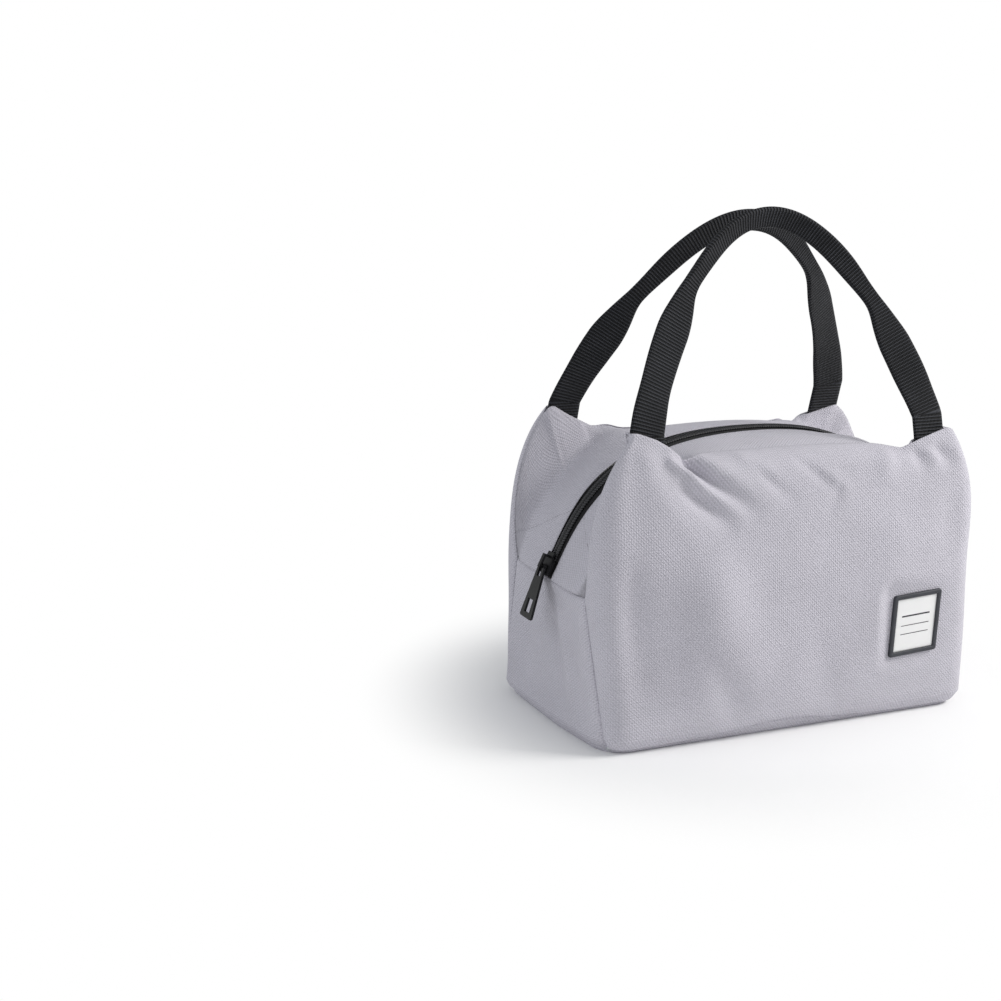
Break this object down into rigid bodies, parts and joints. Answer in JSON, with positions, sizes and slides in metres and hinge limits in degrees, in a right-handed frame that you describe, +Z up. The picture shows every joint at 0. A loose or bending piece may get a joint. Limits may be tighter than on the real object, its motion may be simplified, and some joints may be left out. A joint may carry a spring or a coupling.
{
  "type": "lunch bag",
  "caption": "Soft insulated lunch bag: padded fabric box with a domed zip top, a foil lining, a name plate and two webbing handles.",
  "frame": {"origin": "middle of the flat underside", "axes": "+Z up, the front panel with the name plate faces -Y, +X to the right as seen from the front; the zip's closed end is at -X"},
  "size_m": [0.2551, 0.127, 0.287],
  "materials": {
    "outer_fabric": "light lavender-grey twill, matt",
    "foam": "closed-cell foam sheet, matt",
    "lining": "silver foil film, satin",
    "zip_tape": "black woven tape",
    "zip_coil": "black nylon coil, satin",
    "zip_metal": "black lacquer, half gloss",
    "webbing": "black ribbed polyester webbing",
    "plate_rim": "dark moulded rubber, satin",
    "plate_face": "white, matt"
  },
  "bodies": {
    "root": {"front_panel": "outer_fabric", "back_panel": "outer_fabric", "left_gusset": "outer_fabric", "right_gusset": "outer_fabric", "base_panel": "outer_fabric", "front_foam": "foam", "back_foam": "foam", "left_foam": "foam", "right_foam": "foam", "base_foam": "foam", "front_lining": "lining", "back_lining": "lining", "left_lining": "lining", "right_lining": "lining", "base_lining": "lining", "left_zip_end": "zip_coil", "right_zip_end": "zip_coil", "front_handle_ends": "webbing", "back_handle_ends": "webbing", "plate_frame": "plate_rim", "plate_face": "plate_face"},
    "front_rim": {"front_top_panel": "outer_fabric", "front_top_foam": "foam", "front_top_lining": "lining", "front_zip_tape": "zip_tape", "front_zip_coil": "zip_coil"},
    "back_rim": {"back_top_panel": "outer_fabric", "back_top_foam": "foam", "back_top_lining": "lining", "back_zip_tape": "zip_tape", "back_zip_coil": "zip_coil"},
    "zip_slider": {"zip_slider": "zip_metal"},
    "zip_pull": {"zip_pull": "zip_metal"},
    "front_handle": {"front_handle": "webbing"},
    "back_handle": {"back_handle": "webbing"}
  },
  "joints": [
    {"name": "front_rim_open", "type": "hinge", "parent": "root", "child": "front_rim", "pos_m": [0, 0, 0.09823], "axis": [1, 0, 0], "range_deg": [0, 40], "deforming": ["front_top_panel", "front_top_foam", "front_top_lining"]},
    {"name": "back_rim_open", "type": "hinge", "parent": "root", "child": "back_rim", "pos_m": [0, 0, 0.09823], "axis": [-1, 0, 0], "range_deg": [0, 40], "deforming": ["back_top_panel", "back_top_foam", "back_top_lining"]},
    {"name": "front_handle_swing", "type": "hinge", "parent": "root", "child": "front_handle", "pos_m": [0, -0.04843, 0.171], "axis": [1, 0, 0], "range_deg": [0, 110]},
    {"name": "back_handle_swing", "type": "hinge", "parent": "root", "child": "back_handle", "pos_m": [0, 0.04843, 0.171], "axis": [-1, 0, 0], "range_deg": [0, 110]},
    {"name": "zip_travel", "type": "hinge", "parent": "root", "child": "zip_slider", "pos_m": [0, 0, 0.03366], "axis": [0, 1, 0], "range_deg": [0, 128], "deforming": ["front_top_panel", "front_top_foam", "front_top_lining", "front_zip_tape", "front_zip_coil", "back_top_panel", "back_top_foam", "back_top_lining", "back_zip_tape", "back_zip_coil", "right_zip_end"]},
    {"name": "pull_swing", "type": "hinge", "parent": "zip_slider", "child": "zip_pull", "pos_m": [-0.12339, 0, 0.09184], "axis": [0, 1, 0], "range_deg": [0, 160]}
  ]
}
